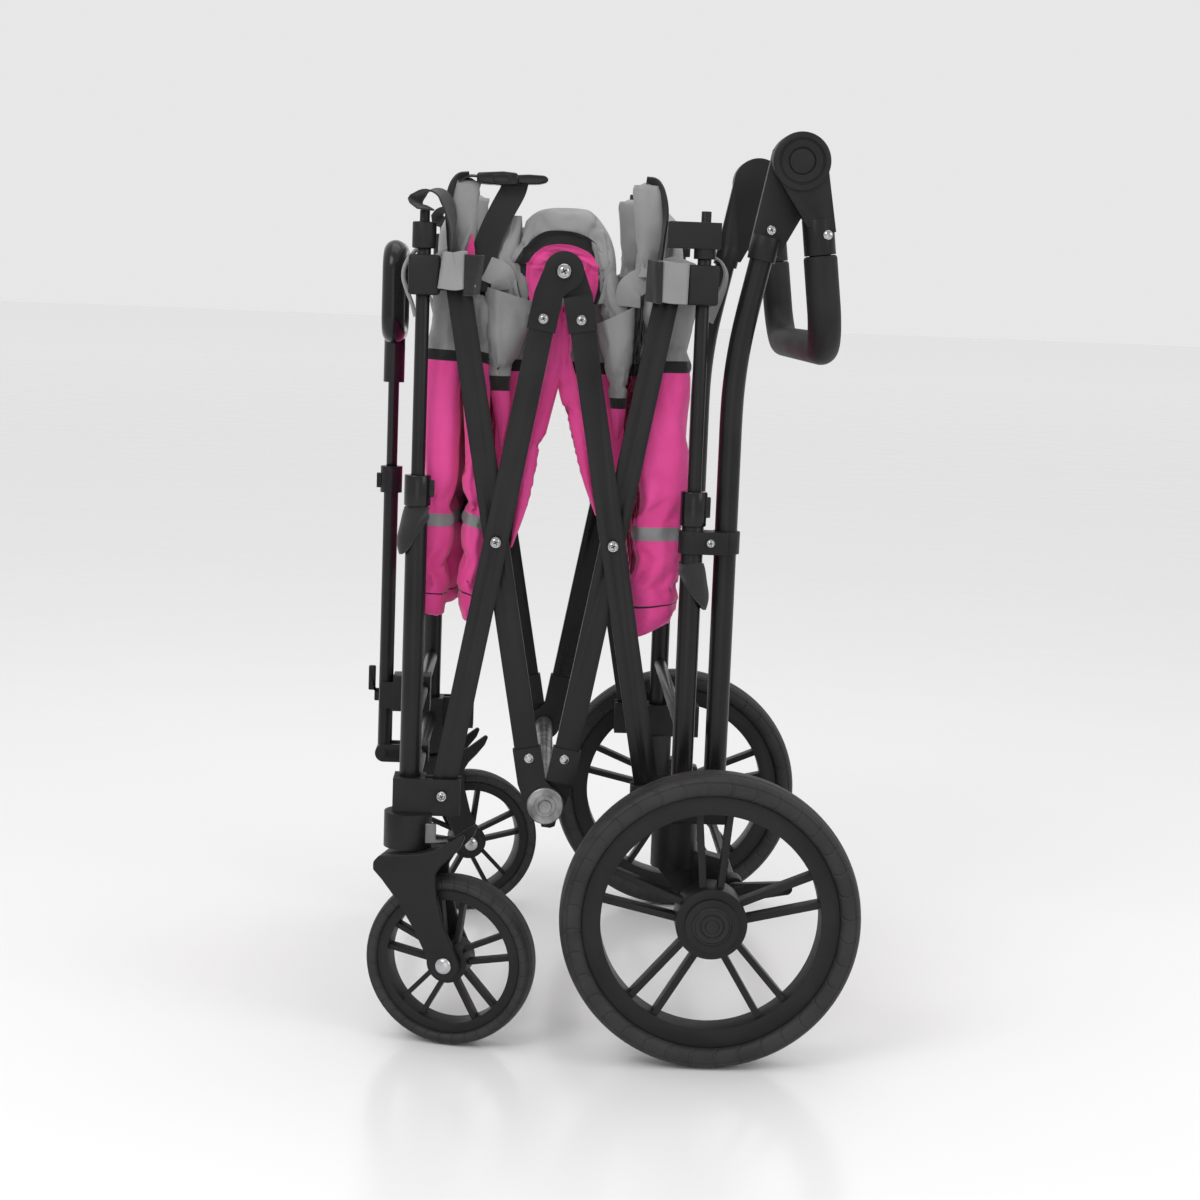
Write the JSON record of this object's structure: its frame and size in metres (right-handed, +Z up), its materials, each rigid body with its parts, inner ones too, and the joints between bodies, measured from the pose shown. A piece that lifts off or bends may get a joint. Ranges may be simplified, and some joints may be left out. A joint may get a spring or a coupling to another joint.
{
  "type": "folding pet stroller",
  "caption": "Folding pet stroller, folded: double scissor frame, accordion fabric basket, large rear wheels, caster front wheels, foam push handle and telescoping pull handle",
  "frame": {"origin": "middle of the bounding box's base, on the floor, in the folded position", "axes": "+X to the push handle at the rear, +Y to the stroller's right, +Z up"},
  "size_m": [0.5238, 0.6496, 0.9388],
  "materials": {
    "frame_steel": "satin black powder coat on steel tube",
    "black_plastic": "moulded black nylon, fine grain",
    "gloss_plastic": "smooth black",
    "fastener_chrome": "bright zinc and chrome screw heads",
    "foam": "closed cell foam grip",
    "tyre": "black rubber with slanted tread",
    "pink_fabric": "woven polyester",
    "grey_fabric": "woven polyester with black binding",
    "board_fabric": "cloth covered board"
  },
  "bodies": {
    "rear_frame": {"rear_legs": "frame_steel", "rear_collars": "black_plastic", "rear_corner_brackets": "black_plastic", "rear_axle": "frame_steel", "rear_cross_tube": "frame_steel", "handle_tubes": "frame_steel", "handle_clamps": "black_plastic", "handle_joint_bases": "black_plastic", "rear_frame_screws": "fastener_chrome"},
    "push_handle": {"handle_joint_arms": "black_plastic", "handle_bar": "frame_steel", "handle_grip": "foam"},
    "handle_button_left": {"handle_button_left": "black_plastic"},
    "handle_button_right": {"handle_button_right": "black_plastic"},
    "rear_outer_bars": {"rear_outer_bars": "frame_steel", "rear_outer_fittings": "black_plastic", "rear_cross_screws": "fastener_chrome"},
    "rear_inner_bars": {"rear_inner_bars": "frame_steel", "rear_inner_fittings": "black_plastic"},
    "front_outer_bars": {"front_outer_bars": "frame_steel", "front_outer_fittings": "black_plastic", "front_cross_screws": "fastener_chrome"},
    "front_inner_bars": {"front_inner_bars": "frame_steel", "front_inner_fittings": "black_plastic"},
    "bottom_hub": {"bottom_hub": "frame_steel"},
    "rear_sliders": {"rear_sliders": "black_plastic", "rear_slider_forks": "black_plastic", "rear_basket_wall": "pink_fabric"},
    "front_sliders": {"front_sliders": "black_plastic", "front_slider_forks": "black_plastic", "front_basket_wall": "pink_fabric"},
    "rear_posts": {"rear_posts": "frame_steel", "rear_post_caps": "black_plastic"},
    "front_posts": {"front_posts": "frame_steel", "front_post_caps": "black_plastic"},
    "front_frame": {"front_legs": "frame_steel", "front_collars": "black_plastic", "front_corner_brackets": "black_plastic", "front_cross_tubes": "frame_steel", "pull_handle_brackets": "black_plastic", "front_frame_screws": "fastener_chrome"},
    "caster_left": {"caster_fork_left": "black_plastic"},
    "caster_right": {"caster_fork_right": "black_plastic"},
    "front_wheel_left": {"front_wheel_left": "black_plastic", "front_tyre_left": "tyre"},
    "front_wheel_right": {"front_wheel_right": "black_plastic", "front_tyre_right": "tyre"},
    "swivel_lock_left": {"swivel_lock_left": "fastener_chrome"},
    "swivel_lock_right": {"swivel_lock_right": "fastener_chrome"},
    "rear_wheel_left": {"rear_wheel_left": "black_plastic", "rear_tyre_left": "tyre"},
    "rear_wheel_right": {"rear_wheel_right": "black_plastic", "rear_tyre_right": "tyre"},
    "pull_tube": {"pull_tube": "frame_steel"},
    "pull_grip": {"pull_grip": "gloss_plastic"},
    "pull_latch": {"pull_latch": "black_plastic"},
    "brake_bar": {"brake_bar": "frame_steel"},
    "side_folds": {"side_fold_left": "grey_fabric", "side_fold_right": "grey_fabric"},
    "front_side_liner": {"front_side_liner": "pink_fabric"},
    "front_floor_board": {"front_floor_board": "board_fabric"},
    "rear_floor_board": {"rear_floor_board": "board_fabric"}
  },
  "joints": [
    {"name": "fold", "type": "hinge", "parent": "rear_frame", "child": "rear_outer_bars", "pos_m": [0.0463, 0, 0.257], "axis": [0, -1, 0], "range_deg": [0, 39]},
    {"name": "rear_cross", "type": "hinge", "parent": "rear_outer_bars", "child": "rear_inner_bars", "pos_m": [-0.0007, 0, 0.5195], "axis": [0, -1, 0], "range_deg": [-78, 0]},
    {"name": "rear_slider_pivot", "type": "hinge", "parent": "rear_inner_bars", "child": "rear_sliders", "pos_m": [0.0463, 0, 0.782], "axis": [0, -1, 0], "range_deg": [0, 39]},
    {"name": "bottom_hub_pivot", "type": "hinge", "parent": "rear_inner_bars", "child": "bottom_hub", "pos_m": [-0.06, 0, 0.2465], "axis": [0, -1, 0], "range_deg": [0, 39]},
    {"name": "top_hub", "type": "hinge", "parent": "rear_outer_bars", "child": "front_outer_bars", "pos_m": [-0.06, 0, 0.7925], "axis": [0, -1, 0], "range_deg": [-78, 0]},
    {"name": "front_cross", "type": "hinge", "parent": "front_outer_bars", "child": "front_inner_bars", "pos_m": [-0.1193, 0, 0.5195], "axis": [0, -1, 0], "range_deg": [0, 78]},
    {"name": "front_lower_pivot", "type": "hinge", "parent": "front_outer_bars", "child": "front_frame", "pos_m": [-0.1663, 0, 0.257], "axis": [0, -1, 0], "range_deg": [0, 39]},
    {"name": "front_slider_pivot", "type": "hinge", "parent": "front_inner_bars", "child": "front_sliders", "pos_m": [-0.1663, 0, 0.782], "axis": [0, -1, 0], "range_deg": [-39, 0]},
    {"name": "side_fold_spread", "type": "slide", "parent": "rear_sliders", "child": "side_folds", "axis": [-1, 0, 0], "range_m": [0, 0.3133]},
    {"name": "front_liner_spread", "type": "slide", "parent": "side_folds", "child": "front_side_liner", "axis": [-1, 0, 0], "range_m": [0, 0.3133]},
    {"name": "rear_floor_hinge", "type": "hinge", "parent": "rear_sliders", "child": "rear_floor_board", "pos_m": [0.021, 0, 0.445], "axis": [0, -1, 0], "range_deg": [0, 90]},
    {"name": "front_floor_hinge", "type": "hinge", "parent": "front_sliders", "child": "front_floor_board", "pos_m": [-0.141, 0, 0.445], "axis": [0, -1, 0], "range_deg": [-90, 0]},
    {"name": "rear_wheel_left_spin", "type": "hinge", "parent": "rear_frame", "child": "rear_wheel_left", "pos_m": [0.1095, -0.297, 0.1524], "axis": [0, 1, 0], "continuous": true},
    {"name": "caster_left_swivel", "type": "hinge", "parent": "front_frame", "child": "caster_left", "pos_m": [-0.2, -0.236, 0.204], "axis": [0, 0, 1], "continuous": true},
    {"name": "front_wheel_left_spin", "type": "hinge", "parent": "caster_left", "child": "front_wheel_left", "pos_m": [-0.15149, -0.2481, 0.0885], "axis": [0.2419, 0.9703, 0], "continuous": true},
    {"name": "swivel_lock_left_flip", "type": "hinge", "parent": "front_frame", "child": "swivel_lock_left", "pos_m": [-0.176, -0.25875, 0.232], "axis": [0, -1, 0], "range_deg": [0, 25]},
    {"name": "handle_button_left_press", "type": "slide", "parent": "push_handle", "child": "handle_button_left", "axis": [0, 1, 0], "range_m": [0, 0.0035], "stiffness_N_per_m": 800, "springref_m": -0.002},
    {"name": "rear_wheel_right_spin", "type": "hinge", "parent": "rear_frame", "child": "rear_wheel_right", "pos_m": [0.1095, 0.297, 0.1524], "axis": [0, 1, 0], "continuous": true},
    {"name": "caster_right_swivel", "type": "hinge", "parent": "front_frame", "child": "caster_right", "pos_m": [-0.2, 0.236, 0.204], "axis": [0, 0, 1], "continuous": true},
    {"name": "front_wheel_right_spin", "type": "hinge", "parent": "caster_right", "child": "front_wheel_right", "pos_m": [-0.15149, 0.2481, 0.0885], "axis": [-0.2419, 0.9703, 0], "continuous": true},
    {"name": "swivel_lock_right_flip", "type": "hinge", "parent": "front_frame", "child": "swivel_lock_right", "pos_m": [-0.176, 0.25875, 0.232], "axis": [0, -1, 0], "range_deg": [0, 25]},
    {"name": "handle_button_right_press", "type": "slide", "parent": "push_handle", "child": "handle_button_right", "axis": [0, -1, 0], "range_m": [0, 0.0035], "stiffness_N_per_m": 800, "springref_m": -0.002},
    {"name": "handle_fold", "type": "hinge", "parent": "rear_frame", "child": "push_handle", "pos_m": [0.1723, 0, 0.9098], "axis": [0, -1, 0], "range_deg": [0, 135]},
    {"name": "pull_handle_swing", "type": "hinge", "parent": "front_frame", "child": "pull_tube", "pos_m": [-0.241, 0, 0.251], "axis": [0, -1, 0], "range_deg": [0, 90]},
    {"name": "pull_grip_extend", "type": "slide", "parent": "pull_tube", "child": "pull_grip", "axis": [0, 0, 1], "range_m": [0, 0.2]},
    {"name": "pull_latch_flip", "type": "hinge", "parent": "front_frame", "child": "pull_latch", "pos_m": [-0.245, 0, 0.313], "axis": [0, -1, 0], "range_deg": [0, 25]},
    {"name": "brake_press", "type": "hinge", "parent": "rear_frame", "child": "brake_bar", "pos_m": [0.138, 0, 0.168], "axis": [0, 1, 0], "range_deg": [0, 12]},
    {"name": "rear_posts_extend", "type": "slide", "parent": "rear_frame", "child": "rear_posts", "axis": [0, 0, 1], "range_m": [0, 0.12]},
    {"name": "front_posts_extend", "type": "slide", "parent": "front_frame", "child": "front_posts", "axis": [0, 0, 1], "range_m": [0, 0.12]}
  ],
  "couplings": [
    {"joint": "rear_cross", "follows": "fold", "ratio": -2},
    {"joint": "rear_slider_pivot", "follows": "fold", "ratio": 1},
    {"joint": "bottom_hub_pivot", "follows": "fold", "ratio": 1},
    {"joint": "top_hub", "follows": "fold", "ratio": -2},
    {"joint": "front_cross", "follows": "fold", "ratio": 2},
    {"joint": "front_lower_pivot", "follows": "fold", "ratio": 1},
    {"joint": "front_slider_pivot", "follows": "fold", "ratio": -1},
    {"joint": "side_fold_spread", "follows": "fold", "m_per_rad": 0.46029},
    {"joint": "front_liner_spread", "follows": "fold", "m_per_rad": 0.46029},
    {"joint": "rear_floor_hinge", "follows": "fold", "ratio": 2.3077},
    {"joint": "front_floor_hinge", "follows": "fold", "ratio": -2.3077}
  ]
}
